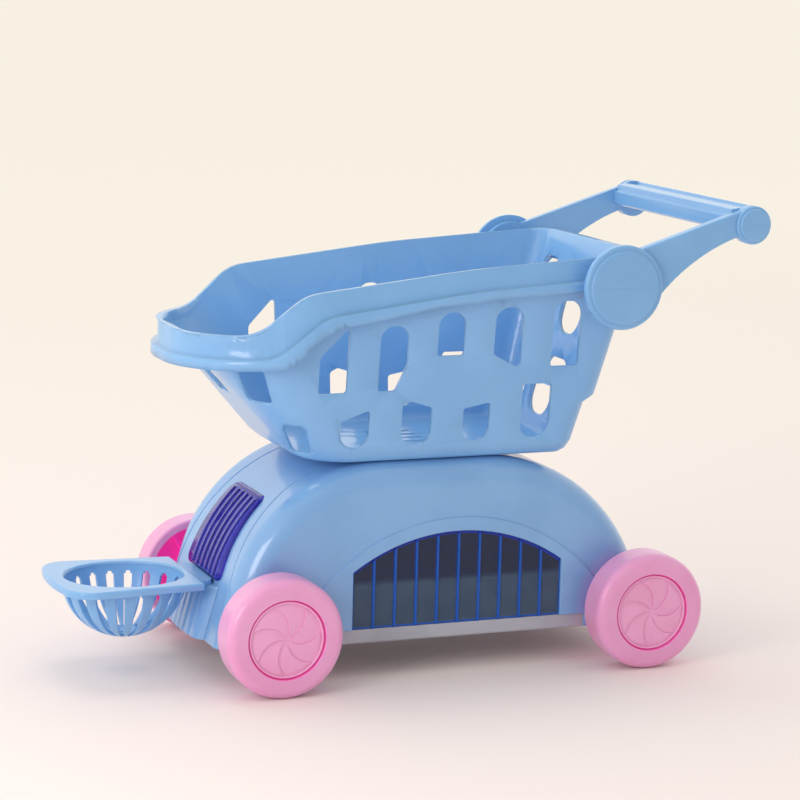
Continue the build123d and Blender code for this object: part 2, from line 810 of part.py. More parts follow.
def make_basket():
    """The one-piece basket: walls, turned-over rim, openings, pivot bosses and feet."""
    inner = tub(basket_wall)
    line = under_rim(0, 0)
    walls = (tub(0) - inner) & line
    walls -= [slab(opening(item), -far, far) for item in side_holes()]
    rear_region = block(basket_rear_x - 20, far, -rim_half, rim_half, 0, far)
    for item in rear_holes():
        walls -= extrude(Plane.YZ * opening(item), amount=far) & rear_region
    walls -= front_slots()
    walls -= foot_slots()
    band = under_rim(rim_band, rim_band_setback)
    foot = under_rim(rim_band + rim_lip, rim_band_setback + rim_lip_setback)
    skirt = ((rim_block(0) - rim_block(-rim_wall)) & line) - foot
    web = ((rim_block(0) - inner) & line) - under_rim(rim_wall, 0)
    lip = ((rim_block(rim_lip_proud) - rim_block(-rim_wall / 2)) & band) - foot
    basket = walls + skirt + web + lip
    for boss in both_sides(rod(pivot_x, pivot_z, pin_boss_radius, pin_foot_y, arm_inner_y - arm_gap / 2)):
        basket += boss - inner
    for bore in both_sides(rod(pivot_x, pivot_z, pin_radius, pin_foot_y, far)):
        basket -= bore
    seat_z = body_top_z - body_wall
    tip_z = body_top_z + basket_wall - foot_skin
    screws = []
    for x, y in basket_foot_places():
        basket += post(x, y, foot_radius, seat_z, body_top_z + basket_wall)
        basket -= post(x, y, screw_radius + screw_clearance, 0, tip_z)
        head = post(x, y, foot_head_radius, seat_z - screw_head, seat_z)
        screws.append(head + post(x, y, screw_radius, seat_z - screw_head / 2, tip_z))
    keep("basket", basket)
    keep("basket_screws", together(screws))


# ---------------------------------------------------------------- handle

def arm_outline():
    """Side view of an arm: a hub, a tapering blade and the boss at the grip."""
    blade = make_face([
        Line((arm_hub_radius * 0.6, 13.2), (arm_length - 3, grip_boss_radius - 0.5)),
        Line((arm_length - 3, grip_boss_radius - 0.5), (arm_length - 3, -3.0)),
        ThreePointArc((arm_length - 3, -3.0), (arm_length / 2, -4.9), (arm_hub_radius * 0.7, -14.8)),
        Line((arm_hub_radius * 0.7, -14.8), (arm_hub_radius * 0.6, 13.2)),
    ])
    return Circle(arm_hub_radius) + blade + Pos(arm_length, 0) * Circle(grip_boss_radius)


def in_arm_frame(outline):
    """Turns an outline drawn along the arm to its place in the side view."""
    return Pos(pivot_x, pivot_z) * Rot(0, 0, arm_rise) * outline


def make_arms():
    """Two arms that ride on the pivot pins outside the basket's rim."""
    arm = slab(in_arm_frame(arm_outline()), arm_inner_y, arm_outer_y)
    rims = arm.edges().filter_by(lambda edge: abs(edge.center().Y - arm_outer_y) < 0.01)
    arm = fillet(rims, 1.2)
    arm -= rod(pivot_x, pivot_z, pin_radius + pin_clearance, 0, far)
    arm -= rod(grip_x, grip_z, grip_spigot_radius, grip_cap_y, far)
    keep("right_arm", arm)
    keep("left_arm", mirror(arm, about=Plane.XZ))


def make_grip_bar():
    """The bar between the arms, with two stepped ridges along its front and top."""
    points = [(-11.4, -2.0), (-11.4, 4.0), (-9.7, 4.6), (-9.4, 7.4), (-3.6, 8.0), (-3.2, 6.9),
              (1.6, 7.6), (2.0, 8.8), (6.4, 7.2), (8.8, 0.5), (6.4, -2.8), (-9.6, -3.2)]
    outline = make_face(Polyline(*points, close=True))
    outline = fillet(outline.vertices(), 0.45)
    bar = across(Pos(grip_x, grip_z) * outline, arm_inner_y)
    hollow = make_face(Polyline((-9.2, -8), (-9.2, 2.4), (-7.2, 5.2), (5, 5.2), (6.6, 0.5), (5, -8), close=True))
    bay = (2 * arm_inner_y - grip_rib) / (grip_rib_count - 1)
    for index in range(grip_rib_count - 1):
        low = -arm_inner_y + grip_rib + bay * index
        bar -= slab(Pos(grip_x, grip_z) * hollow, low, low + bay - grip_rib)
    keep("grip_bar", bar)


def make_grip_caps():
    """A round cap pressed into each end of the handle."""
    boss = rod(grip_x, grip_z, grip_boss_radius, arm_outer_y, arm_outer_y + grip_cap_step)
    boss = fillet(boss.edges().group_by(Axis.Y)[-1], 1.0)
    face = rod(grip_x, grip_z, grip_face_radius, arm_outer_y, arm_outer_y + grip_cap_thickness)
    face = fillet(face.edges().group_by(Axis.Y)[-1], 0.7)
    cap = boss + face + rod(grip_x, grip_z, grip_spigot_radius, grip_cap_y, arm_outer_y)
    keep("right_grip_cap", cap)
    keep("left_grip_cap", mirror(cap, about=Plane.XZ))


def make_pivot_discs():
    """The large discs that cover the pivots and turn with the arms."""
    rim = rod(pivot_x, pivot_z, disc_radius, arm_outer_y, arm_outer_y + disc_thickness - disc_step)
    rim = fillet(rim.edges().group_by(Axis.Y)[-1], 1.4)
    face = rod(pivot_x, pivot_z, disc_face_radius, arm_outer_y, arm_outer_y + disc_thickness)
    face = fillet(face.edges().group_by(Axis.Y)[-1], 0.7)
    disc = rim + face - rod(pivot_x, pivot_z, disc_recess_radius, 0, arm_outer_y + disc_recess)
    keep("right_pivot_disc", disc)
    keep("left_pivot_disc", mirror(disc, about=Plane.XZ))


def make_pivot_pins():
    """Headed pins pressed into the basket's bosses; the arms turn on them."""
    seat_y = arm_outer_y + pin_head_gap
    shank = rod(pivot_x, pivot_z, pin_radius, pin_foot_y, seat_y)
    pin = shank + rod(pivot_x, pivot_z, pin_head_radius, seat_y, seat_y + pin_head)
    keep("pivot_pins", together(both_sides(pin)))


# ---------------------------------------------------------------- small basket

def small_plate_outline():
    """Plan of the small basket's rim: a bowed front edge and sides that close in behind."""
    outline = make_face([
        Line((small_rear_x, -small_rear_half), (small_front_x, -small_front_half)),
        ThreePointArc((small_front_x, -small_front_half), (small_tip_x, 0), (small_front_x, small_front_half)),
        Line((small_front_x, small_front_half), (small_rear_x, small_rear_half)),
        Line((small_rear_x, small_rear_half), (small_rear_x, -small_rear_half)),
    ])
    outline = fillet(outline.vertices().sort_by(Axis.X)[:2], small_corner)
    return fillet(outline.vertices().sort_by(Axis.X)[-2:], 2.0)


def bowl(grow):
    """Half an ellipsoid under the rim's top face."""
    ball = scale(Sphere(1), by=(small_bowl_length + grow, small_bowl_half + grow, small_bowl_depth - small_wall + grow))
    half = ball & block(-far, far, -far, far, -far, 0)
    return Pos(small_bowl_x, 0, small_top_z) * half


def small_slot():
    """One slot of the bowl, narrow near the middle and wide at the wall, with a stepped top."""
    low = small_top_z - small_bowl_depth + small_wall
    high = small_top_z - small_slot_top
    reach = small_bowl_length + 2 * small_wall
    layers = []
    for drop, share in ((0, 0.55), (small_slot_end, 1)):
        narrow = small_slot_narrow * share / 2
        wide = small_slot_wide * share / 2
        plan = Polyline((small_slot_inner, -narrow), (reach, -wide), (reach, wide), (small_slot_inner, narrow), close=True)
        layers.append(extrude(Pos(0, 0, low) * make_face(plan), amount=high - drop - low))
    return layers[0] + layers[1]


def make_small_basket():
    """The slotted bowl with its rim plate, and the tongue that pegs into the bumper."""
    plate = extrude(Pos(0, 0, bumper_top_z) * small_plate_outline(), amount=small_plate)
    mouth = Pos(small_bowl_x, 0, bumper_top_z - 1) * Ellipse(small_bowl_length, small_bowl_half)
    plate -= extrude(mouth, amount=small_plate + 2)
    plate = fillet(plate.edges().group_by(Axis.Z)[-1], small_mouth_round)
    mouth_block = block(-far, far, -far, far, 0, small_top_z - small_mouth_round)
    body = plate + ((bowl(small_wall) - bowl(0)) & mouth_block)
    for index in range(small_slot_count):
        turn = (index + 0.5) * 360 / small_slot_count
        body -= Pos(small_bowl_x, 0, 0) * Rot(0, 0, turn) * small_slot()
    tongue_length = tongue_rear_x - small_rear_x + tongue_overlap
    tongue = Pos(tongue_rear_x - tongue_length / 2, 0) * Rectangle(tongue_length, 2 * tongue_half)
    tongue = fillet(tongue.vertices().sort_by(Axis.X)[-2:], tongue_round)
    tongue = extrude(Pos(0, 0, bumper_top_z) * tongue, amount=tongue_thickness)
    body += tongue - body_block(0)
    for side in (-1, 1):
        body += post(peg_x, side * peg_half_pitch, peg_radius, bumper_top_z - peg_length, bumper_top_z + 1)
    keep("small_basket", body)


make_wheel_sets()
make_body()
make_side_windows()
make_windscreen()
make_bumper()
make_base()
make_basket()
make_arms()
make_grip_bar()
make_grip_caps()
make_pivot_discs()
make_pivot_pins()
make_small_basket()

for name, shape in nodes.items():
    export_step(Pos(-middle_x, 0, 0) * shape, f"parts/{name}.step")
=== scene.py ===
import bmesh
import bpy
import math
from mathutils import Matrix, Vector


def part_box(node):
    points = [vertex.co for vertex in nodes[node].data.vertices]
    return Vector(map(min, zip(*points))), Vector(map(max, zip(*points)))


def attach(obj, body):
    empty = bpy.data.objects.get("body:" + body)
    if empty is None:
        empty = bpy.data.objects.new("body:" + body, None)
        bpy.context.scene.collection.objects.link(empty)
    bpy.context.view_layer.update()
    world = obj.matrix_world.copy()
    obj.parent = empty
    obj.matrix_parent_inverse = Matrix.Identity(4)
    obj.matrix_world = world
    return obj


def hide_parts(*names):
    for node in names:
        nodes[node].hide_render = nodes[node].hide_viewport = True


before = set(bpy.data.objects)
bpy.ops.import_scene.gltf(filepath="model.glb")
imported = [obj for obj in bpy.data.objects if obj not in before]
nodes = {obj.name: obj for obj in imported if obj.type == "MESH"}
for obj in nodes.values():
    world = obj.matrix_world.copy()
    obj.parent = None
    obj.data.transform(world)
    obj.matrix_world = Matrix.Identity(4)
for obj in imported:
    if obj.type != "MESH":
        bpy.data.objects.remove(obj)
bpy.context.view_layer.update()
print("frame loaded:", len(nodes), "nodes")

mm = 0.001
weldGap = 0.004 * mm


def colour(code):  # linear colour from an sRGB hex code
    parts = [int(code[i:i + 2], 16) / 255 for i in (0, 2, 4)]
    return tuple(c / 12.92 if c <= 0.04045 else ((c + 0.055) / 1.055) ** 2.4 for c in parts) + (1.0,)


def perMetre(size):  # texture scale for a pattern whose cells are this many mm across
    return 1000 / size


def addNode(tree, kind, settings=None, links=None):  # one node with its values, and links into its sockets
    node = tree.nodes.new(kind)
    for key, value in (settings or {}).items():
        if isinstance(key, int) or key in node.inputs:
            node.inputs[key].default_value = value
        else:
            setattr(node, key, value)
    for key, socket in (links or {}).items():
        tree.links.new(socket, node.inputs[key])
    return node


def newMaterial(name):
    mat = bpy.data.materials.new(name)
    mat.use_nodes = True
    mat.node_tree.nodes.clear()
    return mat, mat.node_tree


def finishMaterial(tree, shader):
    addNode(tree, "ShaderNodeOutputMaterial", links={"Surface": shader.outputs[0]})


def mottled(tree, dark, light, size):  # a colour that drifts between two close tones
    place = addNode(tree, "ShaderNodeTexCoord").outputs["Object"]
    grain = {"Scale": perMetre(size), "Detail": 3.0, "Roughness": 0.55}
    noise = addNode(tree, "ShaderNodeTexNoise", grain, {"Vector": place})
    ramp = addNode(tree, "ShaderNodeValToRGB", links={0: noise.outputs[0]})
    ramp.color_ramp.elements[0].position = 0.4
    ramp.color_ramp.elements[0].color = dark
    ramp.color_ramp.elements[1].position = 0.6
    ramp.color_ramp.elements[1].color = light
    return ramp.outputs[0], noise.outputs[0], place


def plastic(look):  # moulded plastic: barely uneven colour, rippled satin skin, a little light going in
    mat, tree = newMaterial(look["name"])
    tone, cloud, place = mottled(tree, colour(look["dark"]), colour(look["light"]), look["patch"])
    skin = {"To Min": look["rough"] - 0.03, "To Max": look["rough"] + 0.04}
    rough = addNode(tree, "ShaderNodeMapRange", skin, {0: cloud})
    wave = {"Scale": perMetre(look["ripple"]), "Detail": 2.0}
    ripple = addNode(tree, "ShaderNodeTexNoise", wave, {"Vector": place})
    relief = {"Strength": look["bump"], "Distance": 0.1 * mm}
    bump = addNode(tree, "ShaderNodeBump", relief, {"Height": ripple.outputs[0]})
    shader = addNode(tree, "ShaderNodeBsdfPrincipled", {
        "IOR": 1.5, "Coat Weight": look["coat"], "Coat Roughness": 0.07,
        "Subsurface Weight": look["soft"], "Subsurface Radius": look["radius"], "Subsurface Scale": 2 * mm,
    }, {"Base Color": tone, "Roughness": rough.outputs[0], "Normal": bump.outputs[0]})
    finishMaterial(tree, shader)
    return mat


bodyBlue = plastic({
    "name": "sky-blue plastic",  # the satin blue of the car body, with broad pale glints on its rounded edges
    "dark": "7CAEE0", "light": "82B4E6", "patch": 40, "rough": 0.3, "ripple": 6, "bump": 0.05,
    "soft": 0.12, "radius": (0.35, 0.6, 1.0), "coat": 0.6,
})
basketBlue = plastic({
    "name": "pale blue plastic",  # the basket and handle, a touch lighter and more even than the body
    "dark": "7CB4E6", "light": "82B9EA", "patch": 50, "rough": 0.33, "ripple": 5, "bump": 0.04,
    "soft": 0.18, "radius": (0.35, 0.6, 1.0), "coat": 0.45,
})
trayGrey = plastic({
    "name": "off-white plastic",  # the plain underside tray, a dull pale grey beside the blue: its own off-white, darkened by painted shade from lying under the body
    "dark": "A8ACB8", "light": "B2B6C2", "patch": 30, "rough": 0.45, "ripple": 4, "bump": 0.06,
    "soft": 0.1, "radius": (1.0, 0.9, 0.8), "coat": 0.0,
})
capPink = plastic({
    "name": "candy-pink plastic",  # the wheel faces, even and satin with soft pink shade in the facets
    "dark": "EDA6D0", "light": "F0ACD6", "patch": 25, "rough": 0.32, "ripple": 4, "bump": 0.04,
    "soft": 0.2, "radius": (1.0, 0.35, 0.6), "coat": 0.2,
})


wheelHollow = {  # distances from the axle, and from the middle of the cart, where the painted magenta glow is laid on the wheel
    "wallOut": 24.5 * mm, "wallIn": 23.0 * mm, "backIn": 71.2 * mm, "backOut": 72.8 * mm,
    "gapOut": 19.0 * mm, "gapIn": 18.65 * mm, "gapShare": 0.45, "glow": 0.4,
}


def wheelPink(axleX, axleZ):  # candy pink outside; a painted magenta glow, as colour and emission, in its hollow and in the gap round the cap, standing in for light coming through the thin plastic
    mat, tree = newMaterial("pink wheel plastic with painted glow")
    tone, cloud, place = mottled(tree, colour("E8A4D0"), colour("EBAAD6"), 25)
    apart = addNode(tree, "ShaderNodeSeparateXYZ", links={0: place})
    across = addNode(tree, "ShaderNodeMath", {"operation": "SUBTRACT", 1: axleX}, {0: apart.outputs[0]})
    upward = addNode(tree, "ShaderNodeMath", {"operation": "SUBTRACT", 1: axleZ}, {0: apart.outputs[2]})
    flat = addNode(tree, "ShaderNodeCombineXYZ", links={0: across.outputs[0], 1: upward.outputs[0]})
    radius = addNode(tree, "ShaderNodeVectorMath", {"operation": "LENGTH"}, {0: flat.outputs[0]})
    wall = {"From Min": wheelHollow["wallOut"], "From Max": wheelHollow["wallIn"]}
    inside = addNode(tree, "ShaderNodeMapRange", wall, {0: radius.outputs["Value"]})
    width = addNode(tree, "ShaderNodeMath", {"operation": "ABSOLUTE"}, {0: apart.outputs[1]})
    back = {
        "From Min": wheelHollow["backIn"], "From Max": wheelHollow["backOut"], "To Min": 1.0, "To Max": 0.0,
    }
    behind = addNode(tree, "ShaderNodeMapRange", back, {0: width.outputs[0]})
    within = {0: inside.outputs[0], 1: behind.outputs[0]}
    hollow = addNode(tree, "ShaderNodeMath", {"operation": "MULTIPLY"}, within)
    slit = {"From Min": wheelHollow["gapOut"], "From Max": wheelHollow["gapIn"]}
    gap = addNode(tree, "ShaderNodeMapRange", slit, {0: radius.outputs["Value"]})
    faint = {"operation": "MULTIPLY", 1: wheelHollow["gapShare"]}
    ring = addNode(tree, "ShaderNodeMath", faint, {0: gap.outputs[0]})
    either = {0: hollow.outputs[0], 1: ring.outputs[0]}
    deep = addNode(tree, "ShaderNodeMath", {"operation": "MAXIMUM"}, either)
    # painted glow: deep magenta laid on the hollow and the cap gap for light shining through the pink wall
    tones = {"data_type": "RGBA", 7: colour("E83CAE")}
    mix = addNode(tree, "ShaderNodeMix", tones, {0: deep.outputs[0], 6: tone})
    # the same places also emit a little, a painted glow though the wheel is no lamp
    weak = {"operation": "MULTIPLY", 1: wheelHollow["glow"]}
    glow = addNode(tree, "ShaderNodeMath", weak, {0: deep.outputs[0]})
    rough = addNode(tree, "ShaderNodeMapRange", {"To Min": 0.29, "To Max": 0.36}, {0: cloud})
    shader = addNode(tree, "ShaderNodeBsdfPrincipled", {
        "IOR": 1.5, "Coat Weight": 0.2, "Coat Roughness": 0.12, "Emission Color": colour("E8359F"),
        "Subsurface Weight": 0.5, "Subsurface Radius": (1.0, 0.3, 0.65), "Subsurface Scale": 5 * mm,
    }, {"Base Color": mix.outputs[2], "Roughness": rough.outputs[0], "Emission Strength": glow.outputs[0]})
    finishMaterial(tree, shader)
    return mat


def tintedClear(look):  # clear tinted plastic with upright ribs across the cart, with a painted highlight of lighter colour along them
    mat, tree = newMaterial(look["name"])
    tone, cloud, place = mottled(tree, colour(look["dark"]), colour(look["light"]), look["patch"])
    apart = addNode(tree, "ShaderNodeSeparateXYZ", links={0: place})
    bay = {"operation": "PINGPONG", 1: look["pitch"] / 2}
    turn = addNode(tree, "ShaderNodeMath", bay, {0: apart.outputs[1]})
    edges = {"From Min": look["rib"] * 0.7, "From Max": look["rib"] * 0.45}
    rib = addNode(tree, "ShaderNodeMapRange", edges, {0: turn.outputs[0]})
    # the rib colour is a painted highlight, lighter than the plastic around it
    tones = {"data_type": "RGBA", 7: colour(look["ribColour"])}
    mix = addNode(tree, "ShaderNodeMix", tones, {0: rib.outputs[0], 6: tone})
    passing = {"To Min": look["clear"], "To Max": look["clear"] * 0.45}
    clear = addNode(tree, "ShaderNodeMapRange", passing, {0: rib.outputs[0]})
    rough = addNode(tree, "ShaderNodeMapRange", {"To Min": 0.05, "To Max": 0.1}, {0: cloud})
    shader = addNode(tree, "ShaderNodeBsdfPrincipled", {"IOR": 1.49, "Specular IOR Level": 0.22}, {
        "Base Color": mix.outputs[2], "Roughness": rough.outputs[0], "Transmission Weight": clear.outputs[0]})
    finishMaterial(tree, shader)
    return mat


window = {
    "flange": 2.2 * mm, "rise": 17 * mm, "bays": 10, "ribIn": 0.54 * mm, "ribOut": 0.84 * mm,
    "crownIn": 1.7 * mm, "crownOut": 1.3 * mm, "sillIn": 1.2 * mm, "sillOut": 1.6 * mm,
    "toneLow": 44 * mm, "toneHigh": 47 * mm,
}


def windowPanes():  # see-through side panels: grey-blue low down, painted shade of deep blue above, painted highlights of bright blue along the ribs and edges
    mat, tree = newMaterial("deep blue clear plastic")
    low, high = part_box("left_window")
    start = low.x + window["flange"]
    half = (high.x - window["flange"] - start) / 2
    foot = low.z + window["flange"]
    top = high.z - window["flange"]
    arch = (half ** 2 + window["rise"] ** 2) / (2 * window["rise"])
    tone, cloud, place = mottled(tree, colour("4C6A8C"), colour("557494"), 12)
    apart = addNode(tree, "ShaderNodeSeparateXYZ", links={0: place})
    # from here up the pane turns deep blue, painted shade for the shaded inside behind the upper pane
    change = {"From Min": window["toneLow"], "From Max": window["toneHigh"]}
    upper = addNode(tree, "ShaderNodeMapRange", change, {0: apart.outputs[2]})
    tones = {"data_type": "RGBA", 7: colour("0A4488")}
    pane = addNode(tree, "ShaderNodeMix", tones, {0: upper.outputs[0], 6: tone})
    along = addNode(tree, "ShaderNodeMath", {"operation": "SUBTRACT", 1: start}, {0: apart.outputs[0]})
    bay = {"operation": "PINGPONG", 1: half / window["bays"]}
    turn = addNode(tree, "ShaderNodeMath", bay, {0: along.outputs[0]})
    ribEdges = {"From Min": window["ribOut"], "From Max": window["ribIn"]}
    rib = addNode(tree, "ShaderNodeMapRange", ribEdges, {0: turn.outputs[0]})
    middle = start + half
    across = addNode(tree, "ShaderNodeMath", {"operation": "SUBTRACT", 1: middle}, {0: apart.outputs[0]})
    upward = addNode(tree, "ShaderNodeMath", {"operation": "SUBTRACT", 1: top - arch}, {0: apart.outputs[2]})
    spoke = addNode(tree, "ShaderNodeCombineXYZ", links={0: across.outputs[0], 1: upward.outputs[0]})
    reach = addNode(tree, "ShaderNodeVectorMath", {"operation": "LENGTH"}, {0: spoke.outputs[0]})
    crownEdges = {"From Min": arch - window["crownIn"], "From Max": arch - window["crownOut"]}
    crown = addNode(tree, "ShaderNodeMapRange", crownEdges, {0: reach.outputs["Value"]})
    sillEdges = {"From Min": foot - window["sillIn"], "From Max": foot - window["sillOut"]}
    sill = addNode(tree, "ShaderNodeMapRange", sillEdges, {0: apart.outputs[2]})
    either = {0: crown.outputs[0], 1: sill.outputs[0]}
    edge = addNode(tree, "ShaderNodeMath", {"operation": "MAXIMUM"}, either)
    lit = {0: rib.outputs[0], 1: edge.outputs[0]}
    bright = addNode(tree, "ShaderNodeMath", {"operation": "MAXIMUM"}, lit)
    # the bright blues along the ribs, crown and sill are painted highlights
    blues = {"data_type": "RGBA", 6: colour("1468E0"), 7: colour("1238C0")}
    ribTone = addNode(tree, "ShaderNodeMix", blues, {0: crown.outputs[0]})
    layers = {0: bright.outputs[0], 6: pane.outputs[2], 7: ribTone.outputs[2]}
    mix = addNode(tree, "ShaderNodeMix", {"data_type": "RGBA"}, layers)
    lower = addNode(tree, "ShaderNodeMapRange", {"To Min": 0.55, "To Max": 0.85}, {0: upper.outputs[0]})
    passing = {0: bright.outputs[0], 2: lower.outputs[0]}
    clear = addNode(tree, "ShaderNodeMix", {"data_type": "FLOAT", 3: 0.35}, passing)
    rough = addNode(tree, "ShaderNodeMapRange", {"To Min": 0.05, "To Max": 0.1}, {0: cloud})
    shader = addNode(tree, "ShaderNodeBsdfPrincipled", {"IOR": 1.49, "Specular IOR Level": 0.22}, {
        "Base Color": mix.outputs[2], "Roughness": rough.outputs[0], "Transmission Weight": clear.outputs[0]})
    finishMaterial(tree, shader)
    return mat


windowBlue = windowPanes()
screenIndigo = tintedClear({
    "name": "indigo clear plastic",  # the darker purple-blue windscreen with glints along its ribs
    "dark": "2420A8", "light": "3234BC", "patch": 20,
    "pitch": 6.15 * mm, "rib": 1.6 * mm, "ribColour": "3A38C4", "clear": 0.4,
})


def drawnSteel():  # the axles and screws, a dull metallic line in the shade
    mat, tree = newMaterial("bright drawn steel")
    tone, cloud = mottled(tree, colour("9C9CA2"), colour("B4B4BA"), 3)[:2]
    rough = addNode(tree, "ShaderNodeMapRange", {"To Min": 0.25, "To Max": 0.4}, {0: cloud})
    shader = addNode(tree, "ShaderNodeBsdfPrincipled", {"Metallic": 1.0, "IOR": 2.5}, {
        "Base Color": tone, "Roughness": rough.outputs[0]})
    finishMaterial(tree, shader)
    return mat


steelMat = drawnSteel()
print("materials made")


def dress(name, mat, edge=0.3, segments=2, clamp=False):  # material, softened edges, even shading
    obj = nodes[name]
    obj.data.materials.clear()
    obj.data.materials.append(mat)
    for face in obj.data.polygons:
        face.use_smooth = True
    weld = obj.modifiers.new("weld", "WELD")
    weld.merge_threshold = weldGap
    if edge:
        flat = obj.modifiers.new("join flat faces", "DECIMATE")
        flat.decimate_type = "DISSOLVE"
        flat.angle_limit = math.radians(1)
        bevel = obj.modifiers.new("soft edge", "BEVEL")
        bevel.width = edge * mm
        bevel.segments = segments
        bevel.limit_method = "ANGLE"
        bevel.angle_limit = math.radians(38)
        bevel.use_clamp_overlap = clamp
        bevel.miter_outer = "MITER_ARC"
    even = obj.modifiers.new("even normals", "WEIGHTED_NORMAL")
    even.keep_sharp = False
    even.weight = 80


for name in ("left_side_shell", "right_side_shell", "centre_cover", "front_bumper"):
    dress(name, bodyBlue, 0.3)
dress("basket", basketBlue, 0)  # a bevel leaves a dark wedge in its slotted floor
dress("small_basket", basketBlue, 0.3, 3)
for name in ("left_arm", "right_arm", "grip_bar"):
    dress(name, basketBlue, 0.25, clamp=True)
for name in ("left_grip_cap", "right_grip_cap", "left_pivot_disc", "right_pivot_disc", "pivot_pins"):
    dress(name, basketBlue, 0.25)
dress("base_tray", trayGrey, 0.3)
dress("left_window", windowBlue, 0.15)
dress("right_window", windowBlue, 0.15)
dress("windscreen", screenIndigo, 0)
for name in ("front_axle", "rear_axle", "base_screws", "basket_screws"):
    dress(name, steelMat, 0.2)

for place in ("front", "rear"):
    low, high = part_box(place + "_axle")
    pink = wheelPink((low.x + high.x) / 2, (low.z + high.z) / 2)
    for side in ("left", "right"):
        dress(f"{place}_{side}_wheel", pink, 0.25)
print("packed pieces dressed")


def makePiece(name, verts, faces, mat, body):
    mesh = bpy.data.meshes.new(name)
    mesh.from_pydata(verts, [], faces)
    mesh.validate()
    shape = bmesh.new()
    shape.from_mesh(mesh)
    bmesh.ops.remove_doubles(shape, verts=shape.verts, dist=weldGap)
    bmesh.ops.recalc_face_normals(shape, faces=shape.faces)
    shape.to_mesh(mesh)
    shape.free()
    for face in mesh.polygons:
        face.use_smooth = True
    obj = bpy.data.objects.new(name, mesh)
    bpy.context.scene.collection.objects.link(obj)
    obj.data.materials.append(mat)
    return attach(obj, body)


hubCap = {
    "sectors": 7, "steps": 10, "rings": 18, "rise": 0.75 * mm, "bead": 0.7 * mm, "curl": 1.24,
    "eye": 0.4 * mm, "eyeFade": 4 * mm, "rimFade": 1.2 * mm, "rimShare": 0.25,
    "sunk": 0.45 * mm, "beadFoot": 0.55 * mm, "beadUp": 0.45 * mm, "corner": 0.4 * mm,
}


def pinwheelCap(name, node, body, outward):  # seven curled facets inside a rounded rim
    low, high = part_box(node)
    centre = (low + high) / 2
    reach = (high.x - low.x) / 2
    seat = low.y if outward > 0 else high.y
    field = reach - hubCap["bead"] * 1.6
    faceAt = high.y - low.y - hubCap["sunk"] - hubCap["rise"]
    verts = []
    faces = []
    perSector = hubCap["steps"] + 1
    around = hubCap["sectors"] * perSector

    def point(radius, angle, up):
        x = centre.x - outward * radius * math.cos(angle)
        verts.append((x, seat + outward * up, centre.z + radius * math.sin(angle)))

    for ring in range(hubCap["rings"] + 1):
        share = ring / hubCap["rings"]
        radius = hubCap["eye"] + (field - hubCap["eye"]) * share
        swirl = math.acos(min(1, radius / (hubCap["curl"] * reach)))
        fade = min(1, radius / hubCap["eyeFade"])
        fade *= min(1, (field - radius) / hubCap["rimFade"] + hubCap["rimShare"])
        for sector in range(hubCap["sectors"]):
            for step in range(perSector):
                turn = step / hubCap["steps"]
                angle = (sector + turn) * 2 * math.pi / hubCap["sectors"] - swirl
                point(radius, angle, faceAt + hubCap["rise"] * turn * fade)
    for ring in range(hubCap["rings"]):
        for k in range(around):
            a = ring * around + k
            b = ring * around + (k + 1) % around
            faces.append((a, b, b + around, a + around))
    bead = hubCap["bead"] * 0.75
    lip = [(field + 0.05 * mm, faceAt + 0.5 * mm)]
    for step in range(7):
        bend = math.radians(180 - 30 * step)
        lip.append((reach - bead + bead * math.cos(bend),
                    faceAt + hubCap["beadFoot"] + hubCap["beadUp"] * math.sin(bend)))
    lip += [(reach, hubCap["corner"]), (reach - hubCap["corner"], 0.0), (0.001 * mm, 0.0)]
    previous = hubCap["rings"] * around
    swirl = math.acos(min(1, field / (hubCap["curl"] * reach)))
    for radius, up in lip:
        start = len(verts)
        for sector in range(hubCap["sectors"]):
            for step in range(perSector):
                angle = (sector + step / hubCap["steps"]) * 2 * math.pi / hubCap["sectors"] - swirl
                point(radius, angle, up)
        for k in range(around):
            a, b = previous + k, previous + (k + 1) % around
            faces.append((a, b, start + (k + 1) % around, start + k))
        previous = start
    faces.append(tuple(range(around - 1, -1, -1)))
    obj = makePiece(name, verts, faces, capPink, body)
    weld = obj.modifiers.new("weld", "WELD")
    weld.merge_threshold = 0.01 * mm
    bevel = obj.modifiers.new("soft edge", "BEVEL")
    bevel.width = 0.12 * mm
    bevel.segments = 2
    bevel.limit_method = "ANGLE"
    bevel.angle_limit = math.radians(40)
    obj.modifiers.new("even normals", "WEIGHTED_NORMAL")
    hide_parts(node)


for place in ("front", "rear"):
    for side, outward in (("left", -1), ("right", 1)):
        pinwheelCap(f"{place}_{side}_pinwheel", f"{place}_{side}_hub_cap", place + "_wheels", outward)

mouldLine = {"width": 0.3 * mm, "proud": 0.06 * mm, "steps": 24}


def mouldRidge(name, node, body, outward, reachShare):  # the faint line a mould leaves across a round face
    low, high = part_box(node)
    faceY = high.y if outward > 0 else low.y
    z = (low.z + high.z) / 2
    middle = (low.x + high.x) / 2
    reach = (high.x - low.x) / 2 * reachShare
    count = mouldLine["steps"]
    profile = [(-0.5, -0.6), (-0.35, 0.55), (0, 1), (0.35, 0.55), (0.5, -0.6)]
    verts = []
    faces = []
    for i in range(count + 1):
        x = middle - reach + 2 * reach * i / count
        taper = 0.4 + 0.6 * math.sin(math.pi * i / count)
        for across, up in profile:
            verts.append((x, faceY + outward * mouldLine["proud"] * (up if up < 0 else up * taper),
                          z + across * mouldLine["width"] * taper))
    wide = len(profile)
    for i in range(count):
        for k in range(wide):
            a, b = i * wide + k, i * wide + (k + 1) % wide
            faces.append((a, b, b + wide, a + wide))
    faces.append(tuple(range(wide - 1, -1, -1)))
    faces.append(tuple(range(count * wide, (count + 1) * wide)))
    obj = makePiece(name, verts, faces, basketBlue, body)


for side, outward in (("left", -1), ("right", 1)):
    mouldRidge(side + "_disc_ridge", side + "_pivot_disc", "handle", outward, 0.86)
    mouldRidge(side + "_grip_ridge", side + "_grip_cap", "handle", outward, 0.82)
print("made pieces added")


def lookAt(obj, target):
    obj.rotation_euler = (Vector(target) - obj.location).to_track_quat("-Z", "Y").to_euler()


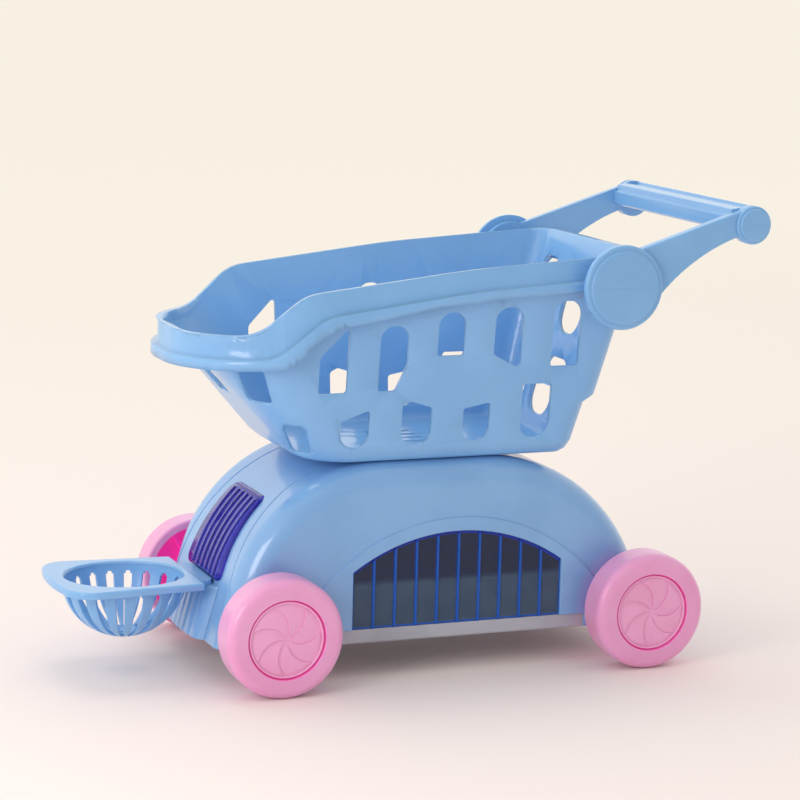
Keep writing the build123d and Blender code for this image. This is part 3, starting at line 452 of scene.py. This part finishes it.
floorMat, floorTree = newMaterial("pale studio floor")  # cream far off, turning faintly pink near the viewer
floorPlace = addNode(floorTree, "ShaderNodeTexCoord").outputs["Object"]
floorApart = addNode(floorTree, "ShaderNodeSeparateXYZ", links={0: floorPlace})
floorBand = {"From Min": -0.4, "From Max": 1.8}
floorShare = addNode(floorTree, "ShaderNodeMapRange", floorBand, {0: floorApart.outputs[1]})
floorTones = {"data_type": "RGBA", 6: colour("F3E9E7"), 7: colour("FDF9EF")}
floorMix = addNode(floorTree, "ShaderNodeMix", floorTones, {0: floorShare.outputs[0]})
floorShader = addNode(floorTree, "ShaderNodeBsdfPrincipled", {"Roughness": 0.9, "Specular IOR Level": 0.2},
                      {"Base Color": floorMix.outputs[2]})
finishMaterial(floorTree, floorShader)

far = 30  # metres from the middle to each side of the floor
floorMesh = bpy.data.meshes.new("floor")
floorMesh.from_pydata([(-far, -far, 0), (far, -far, 0), (far, far, 0), (-far, far, 0)], [], [(0, 1, 2, 3)])
floorObj = bpy.data.objects.new("floor", floorMesh)
floorObj.data.materials.append(floorMat)
bpy.context.scene.collection.objects.link(floorObj)

world = bpy.data.worlds.new("soft room")
world.use_nodes = True
worldPlace = addNode(world.node_tree, "ShaderNodeTexCoord").outputs["Generated"]
worldApart = addNode(world.node_tree, "ShaderNodeSeparateXYZ", links={0: worldPlace})
roomBand = {"From Min": -1.0, "From Max": 0.3, "To Min": 0.5, "To Max": 1.14}  # dimmer on the viewer's side
worldShare = addNode(world.node_tree, "ShaderNodeMapRange", roomBand, {0: worldApart.outputs[1]})
room = world.node_tree.nodes["Background"]
room.inputs[0].default_value = colour("FFFBF6")
world.node_tree.links.new(worldShare.outputs[0], room.inputs[1])
bpy.context.scene.world = world

lamps = [
    {"name": "overhead softbox", "at": (-0.2, 0.35, 1.3), "size": 0.45, "power": 1.5, "tone": "FFFFFF"},
    {"name": "left strip", "at": (-0.7, -0.45, 0.35), "size": 0.3, "power": 1.9, "tone": "FFF6F8"},
]
for lamp in lamps:
    light = bpy.data.lights.new(lamp["name"], "AREA")
    light.size = lamp["size"]
    light.energy = lamp["power"]
    light.color = colour(lamp["tone"])[:3]
    lightObj = bpy.data.objects.new(lamp["name"], light)
    lightObj.location = lamp["at"]
    lookAt(lightObj, (0, 0, 0.1))
    bpy.context.scene.collection.objects.link(lightObj)

cameraAt = Vector((-0.47516, -1.19627, 0.34660))
cameraTo = Vector((0.00583, 0.0, 0.12219))
cameraRoll = math.radians(1.46)
forward = (cameraTo - cameraAt).normalized()
side = forward.cross(Vector((0, 0, 1))).normalized()
above = side.cross(forward)
right = math.cos(cameraRoll) * side + math.sin(cameraRoll) * above
up = math.cos(cameraRoll) * above - math.sin(cameraRoll) * side
camera = bpy.data.cameras.new("camera")
camera.sensor_width = 36
camera.lens = 122.1
cameraObj = bpy.data.objects.new("camera", camera)
turn = Matrix((right, up, -forward)).transposed()
cameraObj.matrix_world = Matrix.Translation(cameraAt) @ turn.to_4x4()
bpy.context.scene.collection.objects.link(cameraObj)
bpy.context.scene.camera = cameraObj
bpy.context.scene.view_settings.view_transform = "Standard"
print("stage set")
